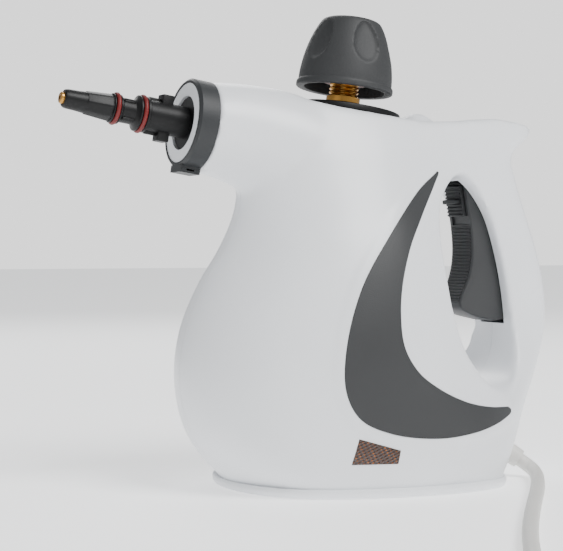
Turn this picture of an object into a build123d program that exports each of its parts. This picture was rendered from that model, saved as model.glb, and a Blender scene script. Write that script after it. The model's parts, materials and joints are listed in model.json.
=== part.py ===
from build123d import *
import os
from math import cos, hypot, radians, sin, tan

os.makedirs("parts", exist_ok=True)

# Handheld steam cleaner. Millimetres, +Z up, floor at Z = 0, nozzle towards -X, handle towards +X.
# The body halves meet on the plane Y = 0. The origin is under the middle of the base.

# ---- driving dimensions ----
WALL = 2.6                 # moulded wall of the body halves
BODY_FOOT = 4.5            # the halves stand on the base cover at this height
WAIST_X = 48.0             # where each level's waist point lies

NOSE_PITCH = 8.9           # nozzle axis, degrees above level
COLLAR_FACE = (-94.8, 0.0, 184.8)
COLLAR_R, COLLAR_DEPTH = 22.6, 10.6
COLLAR_BORE_R, OUTLET_R = 20.2, 13.7

CAP_TILT = 7.4             # filler axis leans back, degrees
CAP_FOOT = (-3.1, 0.0, 204.5)
CAP_R, CAP_HEIGHT, CAP_BORE_R = 25.5, 38.9, 21.1
THREAD_R, FIT_GAP = 7.8, 0.05
FINGER_HOLLOWS = 5
CAP_SHUT = -7.3                    # height of the rim when the cap is screwed shut
NECK_R = 10.5
PLATE_RADII = (20.0, 28.0)         # filler plate, across and along
PLATE_FOOT = (0, -5.0, -11.3)      # its underside's middle, in the filler frame

TRIGGER_PIVOT = (78.0, 168.0)      # X, Z
TRIGGER_WIDTH, TRIGGER_GAP = 22.0, 0.5
PIN_R = 2.0
LOCK_TRAVEL = 4.5
PLUNGER_Z, PLUNGER_R = 178.0, 2.0

BOILER_X, BOILER_R, FLANGE_R = -20.0, 42.0, 49.0
BOILER_FLOOR = 20.0
GASKET_THICKNESS = 2.0

# Mains lead: its route over the floor, then a flat coil of four turns on four
CORD_D = 7.3
CORD_R = CORD_D / 2
COIL_CENTRE, COIL_R, COIL_WIDE, COIL_HIGH = (-62, -344), 42.0, 4, 2
ROUTE = [(79, -22, 16.5), (93, -31.5, 5.3), (89, -42, CORD_R), (77, -60, CORD_R), (52.5, -92, CORD_R),
         (14, -146, CORD_R), (-30, -205, CORD_R), (-64, -262, CORD_R), (-103.3, -310.9, CORD_R)]
TAIL_ANGLE, TAIL_LENGTH = 250.0, 34.0
PLUG_LENGTH, PLUG_Z = 36.0, 12.7

# Level outlines of the body: height, front, half width, waist half width,
# then two rear shoulder points (x, y), and the rear.
LEVELS = [
    (4.5, -70.0, 62.5, 60.0, (60.0, 54.0), (68.5, 38.0), 70.5),
    (16.0, -81.5, 65.0, 61.0, (66.0, 52.0), (77.0, 36.0), 80.5),
    (32.0, -91.5, 66.5, 59.5, (76.0, 44.0), (89.5, 27.0), 93.5),
    (56.0, -96.4, 66.5, 54.0, (84.0, 33.0), (106.0, 18.0), 111.5),
    (80.0, -93.5, 64.0, 47.0, (84.0, 23.0), (115.5, 13.0), 120.0),
    (104.0, -83.0, 59.0, 40.0, (84.0, 20.0), (114.0, 13.0), 118.5),
    (122.0, -71.5, 53.5, 34.5, (82.0, 19.0), (109.5, 12.5), 113.8),
    (140.0, -64.0, 46.0, 29.5, (78.0, 18.5), (103.0, 12.5), 107.2),
    (158.0, -62.0, 39.0, 26.0, (74.0, 18.5), (96.5, 12.5), 100.8),
    (172.0, -60.0, 34.0, 24.0, (72.0, 18.5), (95.0, 12.0), 99.2),
    (184.0, -55.0, 28.5, 21.5, (74.0, 17.0), (103.0, 10.5), 107.8),
    (197.0, -48.0, 21.0, 16.0, (74.0, 12.5), (106.0, 8.0), 112.0),
]
# Top line of the body, from the nose root over the filler deck to the tail.
TOP_LINE = [(-60, 199), (-27, 196.3), (2, 192.6), (31, 189.3), (53, 189.6), (88, 191.8), (104, 190), (113, 185)]
# Nose sections: centre x, centre z, half width, half height, pitch.
NOSE = [(-84.3, 183.2, 22.6, 22.6, 8.9), (-60, 178.6, 25.0, 26.6, 7.0), (-33, 169.5, 29.5, 32.0, 10.0),
        (-5, 158.0, 33.0, 33.0, 14.0)]
# Finger opening, seen from the side.
OPENING = [(54, 163), (63, 159.5), (70.5, 151), (77, 139), (82, 125), (86.3, 108), (89.5, 90), (90.5, 76),
           (88.5, 63), (81.5, 52), (69, 47.5), (56, 51), (45.5, 60), (38.5, 72), (34, 88), (32.5, 106),
           (33.2, 124), (36.5, 142), (44, 156)]
# Crescent inlay: front curve from its top tip down to its rear tip, and the curve back.
CRESCENT_FRONT = [(34.5, 161), (17.5, 150.7), (-5, 129.7), (-25, 104), (-36, 76), (-37, 53), (-29, 39),
                  (-12, 31.5), (14, 28), (40, 29.8), (60, 33.5), (72.5, 36.5)]
CRESCENT_BACK = [(72, 39), (51, 41), (34.7, 44.5), (17.3, 51.8), (5, 60.5), (-2.5, 73), (-3.2, 90),
                 (0.5, 106.5), (8, 123), (19, 137.5), (30, 151), (36.5, 160.5)]
INLAY_PROUD, INLAY_DEEP = 0.4, 1.5
LENS = [(-28, 29.7), (-6.5, 23.3), (-7.5, 16.7), (-31, 17.0)]
# Body screws: (x, z) of each, and the y of the seat under its head.
SCREW_SEAT = {(-72, 45): 38.0, (62, 24): 40.0, (100.5, 62): 12.0, (-52, 158): 16.0, (94.5, 180.5): 8.0}
BODY_SCREWS = list(SCREW_SEAT)
BASE_SCREWS = [(-50, 37), (53, 47)]
FEET = [(-40, 26), (48, 26)]

NOSE_FRAME = Plane(origin=COLLAR_FACE, x_dir=(0, 1, 0),
                   z_dir=(-cos(radians(NOSE_PITCH)), 0, sin(radians(NOSE_PITCH))))
CAP_FRAME = Plane(origin=CAP_FOOT, x_dir=(0, 1, 0),
                  z_dir=(sin(radians(CAP_TILT)), 0, cos(radians(CAP_TILT))))


def save(node, shape):
    """Write one node; a list is written as a group of separate solids."""
    if isinstance(shape, list):
        shape = Compound(children=[solid for item in shape for solid in item.solids()])
    export_step(shape, f"parts/{node}.step")


def side_face(points, y=0.0):
    """A closed curve in the XZ plane through the points, as a face."""
    edge = Edge.make_spline([Vector(x, y, z) for x, z in points], periodic=True)
    return Face(Wire([edge]))


def through(face, reach=90.0):
    """A face on Y = 0 made into a prism that reaches both ways."""
    return extrude(face, amount=reach, dir=(0, 1, 0)) + extrude(face, amount=reach, dir=(0, -1, 0))


def turned(frame, profile):
    """Revolve (radius, height) points about the frame's axis."""
    outline = make_face(Polyline(*[(r, 0, h) for r, h in profile], close=True))
    return frame * revolve(outline, Axis.Z)


def rod(start, end, radius):
    """A round bar between two points."""
    along = Vector(*end) - Vector(*start)
    return extrude(Plane(origin=start, z_dir=along) * Circle(radius), amount=along.length)


def tube_path(points):
    """Straight runs joined by arcs as large as the runs allow; prints the radii."""
    radii = []
    for before, corner, after in zip(points, points[1:], points[2:]):
        arriving, leaving = Vector(*corner) - Vector(*before), Vector(*after) - Vector(*corner)
        half_turn = radians(arriving.get_angle(leaving)) / 2
        radii.append(0.45 * min(arriving.length, leaving.length) / tan(half_turn))
    print("arc radii:", [round(radius, 1) for radius in radii])
    return FilletPolyline(*points, radius=radii)


def pipe(points, radius):
    """A round bar along a path of runs and arcs."""
    path = tube_path(points)
    return sweep(Plane(origin=path @ 0, z_dir=path % 0) * Circle(radius), path=path)


# ---- the body's outer form ----

def level_wire(level, inset, height=None):
    z, front, width, waist, shoulder, corner, rear = level
    near = [(0.73 * (front + inset), 0.71 * (width - inset)), (0, width - inset), (WAIST_X, waist - inset),
            (shoulder[0] - 0.5 * inset, shoulder[1] - 0.9 * inset),
            (corner[0] - 0.8 * inset, corner[1] - 0.7 * inset)]
    points = [(front + inset, 0)] + near + [(rear - inset, 0)] + [(x, -y) for x, y in reversed(near)]
    z = z if height is None else height
    return Wire([Edge.make_spline([Vector(x, y, z) for x, y in points], periodic=True)])


def above_top_line(drop):
    """Everything above the body's top line, lowered by drop."""
    line = Spline(*[(x, 0, z - drop) for x, z in TOP_LINE])
    first, last = line @ 0, line @ 1
    edges = [line, Line(last, (150, 0, last.Z - 20)), Line((150, 0, last.Z - 20), (150, 0, 260)),
             Line((150, 0, 260), (first.X, 0, 260)), Line((first.X, 0, 260), first)]
    return through(make_face(edges))


def main_form(inset):
    levels = Solid.make_loft([level_wire(level, inset) for level in LEVELS])
    return levels - above_top_line(inset)


def nose_form(inset):
    sections = []
    for x, z, half_width, half_height, pitch in NOSE:
        tilt = radians(pitch)
        plane = Plane(origin=(x, 0, z), x_dir=(0, 1, 0), z_dir=(cos(tilt), 0, -sin(tilt)))
        sections.append((plane * Ellipse(half_width - inset, half_height - inset)).wire())
    return Solid.make_loft(sections)


def body_form(inset):
    return main_form(inset) + nose_form(inset)


def opening_face(grow=0.0):
    """The finger opening's outline, moved outwards by grow."""
    points = []
    for (x, z), (xa, za), (xb, zb) in zip(OPENING, OPENING[-1:] + OPENING[:-1], OPENING[1:] + OPENING[:1]):
        run = hypot(xb - xa, zb - za)
        points.append((x - grow * (zb - za) / run, z + grow * (xb - xa) / run))
    return side_face(points)


def crescent_prism(side):
    front = Spline(*[(x, 0, z) for x, z in CRESCENT_FRONT])
    back = Spline(*[(x, 0, z) for x, z in CRESCENT_BACK])
    face = make_face([front, Line(front @ 1, back @ 0), back, Line(back @ 1, front @ 0)])
    return extrude(face, amount=90, dir=(0, side, 0))


def lens_prism():
    return extrude(make_face(Polyline(*[(x, 0, z) for x, z in LENS], close=True)), amount=90, dir=(0, -1, 0))


def skin(outer, inner, prism):
    """The layer between two forms that a sideways prism cuts out."""
    return (outer & prism) - inner


# ---- casings ----

def screw_boss(x, z, side, outer):
    return (Plane(origin=(x, 0, z), z_dir=(0, side, 0)) * extrude(Circle(4.0), amount=70)) & outer


def pin_boss(side, outer):
    x, z = TRIGGER_PIVOT
    boss = Plane(origin=(x, side * (TRIGGER_WIDTH / 2 + TRIGGER_GAP), z), z_dir=(0, side, 0))
    return (boss * extrude(Circle(4.6), amount=30)) & outer


def body_half(side, outer, cavity, inlay):
    """One moulded half: its wall, screw bosses, finger opening, trigger slot and seats."""
    half = Pos(0, side * 100, 130) * Box(400, 200, 300)
    shell = (outer - cavity) & half
    bosses = [screw_boss(x, z, side, outer) for x, z in BODY_SCREWS] + [pin_boss(side, outer)]
    for x, y in BASE_SCREWS:
        bosses.append((Pos(x, side * y, 14) * Cylinder(5.2, 19)) & outer)
    for boss in bosses:
        shell += boss
    shell -= through(opening_face())
    slot_width = TRIGGER_WIDTH + 2 * TRIGGER_GAP
    shell -= Pos(77.5, 0, 123) * Box(35, slot_width, 84)
    shell -= inlay
    if side < 0:
        shell -= lens_prism()
    for x, z in BODY_SCREWS:
        start = -12.0 if side < 0 else 0.0
        shell -= rod((x, start, z), (x, 80, z), 1.6)
        if side > 0:
            shell -= rod((x, SCREW_SEAT[(x, z)], z), (x, 80, z), 3.2)
    for x, y in BASE_SCREWS:
        shell -= rod((x, side * y, 0), (x, side * y, 18), 1.6)
    shell -= rod((TRIGGER_PIVOT[0], -14, TRIGGER_PIVOT[1]), (TRIGGER_PIVOT[0], 14, TRIGGER_PIVOT[1]), PIN_R)
    shell -= NOSE_FRAME * Pos(0, 0, -COLLAR_DEPTH - 5) * Cylinder(COLLAR_BORE_R, 12)
    shell -= CAP_FRAME * Pos(0, 0, -15) * Cylinder(NECK_R, 30)
    shell -= CAP_FRAME * Pos(*PLATE_FOOT) * extrude(Ellipse(*PLATE_RADII), amount=20)
    rim_floor, inside, outside = CAP_SHUT - 0.3, CAP_BORE_R - 0.6, CAP_R + 0.8
    shell -= turned(CAP_FRAME, [(inside, rim_floor), (outside, rim_floor), (outside, 6), (inside, 6)])
    shell -= strain_relief_form(0)
    solids = sorted(shell.solids(), key=lambda solid: solid.volume)
    return solids[-1]


def base_cover():
    """Bottom cover: flared rim, inner lip, boiler posts and screw holes."""
    foot = LEVELS[0]
    rim = Solid.make_loft([level_wire(foot, -0.6, 0), level_wire(foot, -1.8, 2.4),
                           level_wire(foot, -1.4, BODY_FOOT)])
    lip_outer = extrude(Face(level_wire(foot, WALL + 0.3)), amount=3.0)
    lip_inner = extrude(Face(level_wire(foot, WALL + 2.3)), amount=3.0)
    cover = rim + (lip_outer - lip_inner)
    for angle in (60, 180, 300):
        cover += Pos(BOILER_X, 0, 0) * Rot(0, 0, angle) * Pos(26, 0, (BOILER_FLOOR + 4) / 2) * Cylinder(4, 16)
    for side in (-1, 1):
        for x, y in BASE_SCREWS:
            cover -= Pos(x, side * y, 5) * Cylinder(5.6, 8) & Pos(x, side * y, 10) * Box(20, 20, 11)
            cover -= rod((x, side * y, 0), (x, side * y, 8), 1.6)
            cover -= rod((x, side * y, 0), (x, side * y, 3.2), 3.4)
        for x, y in FEET:
            cover -= rod((x, side * y, 0), (x, side * y, 2.5), 6.0)
    return cover


def feet():
    pads = []
    for side in (-1, 1):
        for x, y in FEET:
            pads.append(fillet(rod((x, side * y, 0), (x, side * y, 2.5), 6.0).edges().sort_by(Axis.Z)[0], 0.6))
    return pads


def base_screws():
    screws = []
    for side in (-1, 1):
        for x, y in BASE_SCREWS:
            head = rod((x, side * y, 1.6), (x, side * y, 3.2), 3.3)
            screws.append(head + rod((x, side * y, 3.2), (x, side * y, 17), 1.6) - cross_slot((x, side * y, 1.6)))
    return screws


def cross_slot(at):
    return Pos(*at) * (Box(3.6, 0.8, 1.6) + Box(0.8, 3.6, 1.6))


def body_screws():
    screws = []
    for x, z in BODY_SCREWS:
        seat = SCREW_SEAT[(x, z)]
        head = rod((x, seat, z), (x, seat + 2.2, z), 3.0)
        cross = Pos(x, seat + 2.2, z) * (Box(3.4, 1.6, 0.8) + Box(0.8, 1.6, 3.4))
        screws.append(head + rod((x, -12, z), (x, seat, z), 1.6) - cross)
    return screws


# ---- indicator ----

def lamp_holder():
    holder = Pos(-18, -51.5, 22) * Box(22, 5, 14)
    for x in (-23, -13):
        holder -= rod((x, -56, 22), (x, -51, 22), 2.6)
    return holder


def lamps():
    return [rod((x, -58, 22), (x, -51, 22), 2.6) for x in (-23, -13)]


# ---- nose and nozzle ----

def collar():
    ring = turned(NOSE_FRAME, [(COLLAR_BORE_R, 0), (COLLAR_R - 1.2, 0), (COLLAR_R, -1.2),
                               (COLLAR_R, -COLLAR_DEPTH), (COLLAR_BORE_R, -COLLAR_DEPTH)])
    tab = NOSE_FRAME * Pos(0, COLLAR_R + 0.6, -COLLAR_DEPTH / 2) * Box(13, 3.6, COLLAR_DEPTH)
    slot = NOSE_FRAME * Pos(0, COLLAR_R + 0.8, -COLLAR_DEPTH / 2) * Box(14, 1.0, 4.0)
    bore = NOSE_FRAME * Pos(0, 0, -6) * Cylinder(COLLAR_BORE_R, 14)
    return ring + (tab - slot - bore)


def outlet_ring():
    return turned(NOSE_FRAME, [(OUTLET_R, -0.4), (COLLAR_BORE_R, -0.4), (COLLAR_BORE_R, -15.0),
                               (OUTLET_R, -15.0)])


def outlet_disc():
    return turned(NOSE_FRAME, [(8.0, -1.4), (OUTLET_R - 0.8, -1.4), (OUTLET_R, -2.2), (OUTLET_R, -9.0),
                               (8.0, -9.0)])


def nozzle():
    """Fixed steam spigot: root, two grooved bands, waist and a faceted taper."""
    body = turned(NOSE_FRAME, [(2.0, -12), (8.0, -12), (8.0, 19.6), (8.9, 19.9), (8.9, 21.4), (7.5, 21.6),
                               (7.5, 23.8), (8.9, 24.0), (8.9, 25.2), (7.0, 25.6), (6.2, 27), (6.2, 33.6),
                               (7.3, 34.0), (7.3, 35.1), (6.0, 35.2), (6.0, 37.4), (7.3, 37.5), (7.3, 38.4),
                               (6.6, 39.0), (4.4, 62.6), (3.9, 63.4), (2.9, 63.4), (2.9, 52), (2.0, 52)])
    for side in (-1, 1):
        body += NOSE_FRAME * Pos(0, side * 9.4, 10.2) * Box(7.5, 4.6, 6.0)
    return body


def o_ring(height, core):
    return NOSE_FRAME * Pos(0, 0, height) * Torus(core + 1.1, 1.08)


def jet():
    return turned(NOSE_FRAME, [(1.0, 52.2), (2.9, 52.2), (2.9, 64.0), (2.4, 64.4), (1.0, 64.4)])


# ---- filler and cap ----

def filler_plate():
    edge = CAP_FRAME * Pos(*PLATE_FOOT) * extrude(Ellipse(*PLATE_RADII), amount=2.1)
    boss = CAP_FRAME * Pos(0, 0, -9.2) * extrude(Circle(12.0), amount=2.2)
    bore = CAP_FRAME * Pos(0, 0, -9) * Cylinder(NECK_R, 12)
    return edge + boss - bore


def filler_neck():
    """Brass neck from the boiler up to its flange above the filler plate."""
    bore = THREAD_R + FIT_GAP
    return turned(CAP_FRAME, [(bore, -3.8), (8.9, -3.8), (8.9, -6.8), (NECK_R, -7.2), (NECK_R, -88),
                              (bore, -88)])


def cap_plug():
    return turned(CAP_FRAME, [(0, -24), (THREAD_R - 1.2, -24), (THREAD_R, -22.6), (THREAD_R, 9.9), (6.5, 9.9),
                              (6.5, 14.0), (0, 14.0)])


def cap_gasket():
    return turned(CAP_FRAME, [(THREAD_R + FIT_GAP, 3.6), (11.0, 3.6), (11.0, 5.6), (THREAD_R + FIT_GAP, 5.6)])


def safety_cap():
    crown = Spline((24.7, 0, 5.0), (24.0, 0, 12.0), (22.6, 0, 20.5), (19.9, 0, 28.6), (16.0, 0, 34.6),
                   (11.5, 0, 37.8))
    edges = [Line((CAP_BORE_R, 0, 0), (CAP_R - 0.8, 0, 0)), Line((CAP_R - 0.8, 0, 0), (CAP_R, 0, 0.8)),
             Line((CAP_R, 0, 0.8), (CAP_R, 0, 4.2)), Line((CAP_R, 0, 4.2), (24.7, 0, 5.0)), crown,
             Line((11.5, 0, 37.8), (0, 0, CAP_HEIGHT)), Line((0, 0, CAP_HEIGHT), (0, 0, 14.0)),
             Line((0, 0, 14.0), (CAP_BORE_R - 1.5, 0, 14.0)),
             Line((CAP_BORE_R - 1.5, 0, 14.0), (CAP_BORE_R, 0, 0))]
    cap = revolve(make_face(edges), Axis.Z)
    cap += Pos(0, 0, 10.0) * Cylinder(11.0, 8.4)
    cap -= Pos(0, 0, 7.8) * Cylinder(THREAD_R, 4.2)
    cap -= Pos(0, 0, 11.0) * Cylinder(6.5, 6.0)
    for turn in range(FINGER_HOLLOWS):
        cap -= Rot(0, 0, 360 / FINGER_HOLLOWS * (turn + 0.5)) * Pos(35.5, 0, 27.5) * Sphere(15.0)
    return CAP_FRAME * cap


# ---- boiler ----

def boiler_lower():
    cup = revolve(make_face(Polyline((0, 0, 20), (34, 0, 20), (BOILER_R, 0, 28), (BOILER_R, 0, 57),
                                     (FLANGE_R, 0, 57), (FLANGE_R, 0, 62), (38, 0, 62), (38, 0, 30),
                                     (32, 0, 24), (0, 0, 24), close=True)), Axis.Z)
    for hole in bolt_places():
        cup -= hole * Cylinder(1.6, 20)
    return Pos(BOILER_X, 0, 0) * cup


def boiler_upper():
    dome = revolve(make_face(Polyline((0, 0, 112), (22, 0, 112), (40, 0, 98), (BOILER_R, 0, 90),
                                      (BOILER_R, 0, 69), (FLANGE_R, 0, 69), (FLANGE_R, 0, 64), (38, 0, 64),
                                      (38, 0, 89), (20, 0, 108), (0, 0, 108), close=True)), Axis.Z)
    for hole in bolt_places():
        dome -= hole * Cylinder(1.6, 20)
    dome = Pos(BOILER_X, 0, 0) * dome
    dome += rod(cap_point(-96), cap_point(-88), 14.0)
    dome -= rod(cap_point(-104), cap_point(-80), THREAD_R + FIT_GAP)
    return dome - rod((14, 0, 90), (14, 0, 120), 3.0)


def cap_point(height):
    tilt = radians(CAP_TILT)
    return (CAP_FOOT[0] + height * sin(tilt), 0, CAP_FOOT[2] + height * cos(tilt))


def bolt_places():
    return [Rot(0, 0, 45 * turn + 22.5) * Pos(45.5, 0, 63) for turn in range(8)]


def boiler_bolts():
    bolts = []
    for place in bolt_places():
        bolt = Cylinder(1.6, 15) + Pos(0, 0, 7.5) * Cylinder(3.0, 3) + Pos(0, 0, -7.5) * Cylinder(2.8, 2.4)
        bolts.append(Pos(BOILER_X, 0, 0) * place * bolt)
    return bolts


def boiler_gasket():
    ring = Pos(0, 0, 62) * extrude(Circle(FLANGE_R) - Circle(38), amount=GASKET_THICKNESS)
    for hole in bolt_places():
        ring -= hole * Cylinder(1.6, 20)
    return Pos(BOILER_X, 0, 0) * ring


def heating_element():
    """Ring element under the boiler floor, open at the back, with two terminals."""
    ring = Pos(BOILER_X, 0, 16.5) * (Torus(33.5, 3.5) - Pos(34, 0, 0) * Box(14, 14, 12))
    for side in (-1, 1):
        ring += rod((BOILER_X + 32.7, side * 7, 16.5), (BOILER_X + 44, side * 7, 16.5), 1.6)
    return ring


def thermostat():
    disc = rod((BOILER_X, 0, 11), (BOILER_X, 0, 20), 8.5)
    for side in (-1, 1):
        disc += Pos(BOILER_X, side * 9.5, 13) * Box(5, 5, 0.8)
    return disc


def thermal_fuse():
    x, y = BOILER_X, BOILER_R + 2.0
    return rod((x - 11, y, 40), (x + 11, y, 40), 2.0) + rod((x - 16, y, 40), (x + 16, y, 40), 0.6)


# ---- valve and pipes ----

def valve_body():
    body = Pos(25, 0, PLUNGER_Z) * Box(26, 13, 12)
    body -= rod((20, 0, PLUNGER_Z), (40, 0, PLUNGER_Z), 4.2)
    return body - rod((14, 0, PLUNGER_Z), (20, 0, PLUNGER_Z), 1.5)


def valve_gland():
    x = 38.0
    gland = rod((x - 4, 0, PLUNGER_Z), (x + 3, 0, PLUNGER_Z), 4.2) + rod((x, 0, PLUNGER_Z), (x + 3, 0, PLUNGER_Z), 5.4)
    return gland - rod((x - 6, 0, PLUNGER_Z), (x + 6, 0, PLUNGER_Z), PLUNGER_R + FIT_GAP)


def plunger():
    return rod((26, 0, PLUNGER_Z), (66, 0, PLUNGER_Z), PLUNGER_R) + rod((23, 0, PLUNGER_Z), (26, 0, PLUNGER_Z), 3.4)


def plunger_spring():
    """Light coil between the gland and a collar pressed on the plunger."""
    return coil_spring((44, 0, PLUNGER_Z), (1, 0, 0), 2.9, 0.35, 2.6, 14.0)


def plunger_clip():
    clip = rod((59, 0, PLUNGER_Z), (60.2, 0, PLUNGER_Z), 4.0)
    return clip - rod((50, 0, PLUNGER_Z), (70, 0, PLUNGER_Z), PLUNGER_R)


def coil_spring(start, along, radius, wire_r, pitch, length):
    frame = Plane(origin=start, z_dir=along)
    path = Helix(pitch=pitch, height=length, radius=radius)
    wire = Plane(origin=path @ 0, z_dir=path % 0) * Circle(wire_r)
    return frame * sweep(wire, path=path, is_frenet=True)


def feed_pipe():
    return pipe([(14, 0, 103), (14, 0, 135), (19, 0, 150), (19, 0, 172)], 3.0)


def steam_pipe():
    rear = NOSE_FRAME.from_local_coords((0, 0, -12))
    return pipe([(20, 6.5, PLUNGER_Z), (20, 15, PLUNGER_Z), (2, 20, PLUNGER_Z), (-38, 12, PLUNGER_Z - 2),
                 (-66, 0, 180.3), (rear.X, 0, rear.Z)], 2.4)


# ---- trigger ----

TRIGGER_FRONT = [(65.6, 157), (67.0, 146), (69.2, 134), (70.2, 122), (69.8, 113), (68.2, 105), (65.4, 98),
                 (64.2, 93.5)]
TRIGGER_BACK = [(99.0, 84), (98.5, 97), (95.5, 110), (91.5, 124), (87.0, 137), (82.5, 149)]


def trigger():
    """Lever with a round hub, a nose that pushes the plunger, and a hollow back."""
    px, pz = TRIGGER_PIVOT
    front = Spline(*[(x, 0, z) for x, z in TRIGGER_FRONT])
    toe = Spline(front @ 1, (66.6, 0, 88.2), (73.0, 0, 84.4), (84.0, 0, 82.4))
    back = Spline(*[(x, 0, z) for x, z in TRIGGER_BACK])
    edges = [front, toe, Line(toe @ 1, back @ 0), back, Line(back @ 1, (84.5, 0, 160)),
             Line((84.5, 0, 160), (69, 0, 162)), Line((69, 0, 162), front @ 0)]
    lever = through(make_face(edges), TRIGGER_WIDTH / 2)
    lever -= trigger_hollow()
    hub = rod((px, -TRIGGER_WIDTH / 2, pz), (px, TRIGGER_WIDTH / 2, pz), 6.0)
    arm = Pos(69.6, 0, 171.5) * Box(6.2, 9.0, 15)
    web = Pos(74, 0, 163.5) * Box(9, 9.0, 7)
    lever = lever + hub + arm + web
    lever -= rod((px, -20, pz), (px, 20, pz), PIN_R + FIT_GAP)
    return lever - lock_seat()


def trigger_hollow():
    outline = [(76, 90), (72.5, 98), (75.0, 106), (76.5, 122), (75, 136), (73.5, 150), (110, 150), (110, 90)]
    return through(make_face(Polyline(*[(x, 0, z) for x, z in outline], close=True)), TRIGGER_WIDTH / 2 - 2.2)


LOCK_FRAME = Plane(origin=(66.3, 0, 147.6), x_dir=(0, 1, 0), z_dir=(-0.989, 0, -0.148))
LOCK_SIZE, LOCK_SEAT_DEPTH = (15.0, 17.0), 2.0


def lock_seat():
    """Shallow well in the trigger's face that the slide lock runs in."""
    width, height = LOCK_SIZE
    well = Pos(0, LOCK_TRAVEL / 2, -LOCK_SEAT_DEPTH / 2 + 2.0) * Box(width + 0.8, height + LOCK_TRAVEL + 0.8,
                                                                  LOCK_SEAT_DEPTH + 4.0)
    return LOCK_FRAME * well


def trigger_lock():
    width, height = LOCK_SIZE
    slide = Pos(0, 0, -0.1) * Box(width, height, 3.2)
    for row in range(5):
        slide += Pos(0, -6.4 + 3.2 * row, 1.8) * Box(width, 1.2, 0.9)
    fin = Pos(0, 0.2, 3.2) * Box(width - 2, 6.0, 3.8)
    return LOCK_FRAME * (slide + fin)


def trigger_pin():
    px, pz = TRIGGER_PIVOT
    return rod((px, -14, pz), (px, 14, pz), PIN_R)


def trigger_spring():
    return coil_spring((79.5, 0, 124), (1, 0, 0.12), 3.2, 0.5, 3.4, 27.0)


# ---- cord ----

def strain_relief_form(bore):
    """Tapered sleeve through the rear wall, with a collar each side of it."""
    start, end = Vector(69, -15.3, 24.4), Vector(88.4, -28.4, 9.0)
    along = (end - start).normalized()
    frame = Plane(origin=start, z_dir=along)
    length = (end - start).length
    sleeve = revolve(make_face(Polyline((bore, 0, 0), (6.6, 0, 0), (6.2, 0, 8), (4.9, 0, length),
                                        (bore, 0, length), close=True)), Axis.Z)
    return frame * sleeve


def cord_tube():
    return pipe(ROUTE, CORD_R)


def cord_coil():
    wide, high = COIL_WIDE * CORD_D / 2, COIL_HIGH * CORD_D
    ring = extrude(Circle(COIL_R + wide) - Circle(COIL_R - wide), amount=high)
    ring = fillet(ring.edges().filter_by(GeomType.CIRCLE), 3.0)
    return Pos(*COIL_CENTRE, 0) * ring


def tail_point(distance, height=CORD_R):
    """A point on the straight line by which the cord leaves its coil."""
    angle, reach = radians(TAIL_ANGLE), COIL_R + (COIL_WIDE - 1) * CORD_R
    x = COIL_CENTRE[0] + reach * cos(angle) - distance * sin(angle)
    y = COIL_CENTRE[1] + reach * sin(angle) + distance * cos(angle)
    return (x, y, height)


def plug_frame():
    start, ahead = Vector(*tail_point(TAIL_LENGTH, 0)), Vector(*tail_point(TAIL_LENGTH + 1, 0))
    return Plane(origin=start + Vector(0, 0, PLUG_Z), x_dir=(0, 0, 1), z_dir=ahead - start)


def cord_tail():
    """From the upper layer of the coil straight to the plug beside it."""
    upper = CORD_R + (COIL_HIGH - 1) * CORD_D
    return pipe([tail_point(-2, upper), tail_point(14, upper), tail_point(TAIL_LENGTH + 1, PLUG_Z)], CORD_R)


def plug_body():
    """Moulded plug: round nose flattened into a grip, tapering to the cord."""
    sections = [Pos(0, 0, 0) * Ellipse(4.6, 4.6), Pos(0, 0, 10) * Ellipse(7.0, 8.5),
                Pos(0, 0, 24) * Ellipse(11.5, 12.5), Pos(0, 0, PLUG_LENGTH) * Ellipse(12.6, 13.4)]
    body = Solid.make_loft([section.wire() for section in sections])
    return plug_frame() * (body - Pos(0, 0, -2) * Cylinder(CORD_R, 10))


def plug_pins():
    pins = []
    for side in (-1, 1):
        pins.append(plug_frame() * Pos(0, side * 6.35, PLUG_LENGTH + 8) * Box(6.3, 1.5, 18))
    pins.append(plug_frame() * Pos(-7.2, 0, PLUG_LENGTH + 9) * Cylinder(2.4, 22))
    return pins


# ---- wiring ----

def terminal_block():
    block = Pos(46, 0, 13) * Box(12, 30, 10)
    for y in (-9, 0, 9):
        block -= rod((46, y, 12), (46, y, 20), 2.0)
    return block


def wiring():
    """Heater leads from the terminal block, plain lengths of wire."""
    return [pipe([(40, side * 9, 13), (32, side * 9, 14), (27, side * 7.6, 16.5), (BOILER_X + 44, side * 7, 16.5)],
                 1.0) for side in (-1, 1)]


def cord_clamp():
    """Bridge on the base cover that holds the lead down."""
    return Pos(58, -22, BODY_FOOT + 3.5) * Box(8, 18, 7) - rod((50, -22, 8), (66, -22, 8), CORD_R)


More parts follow.
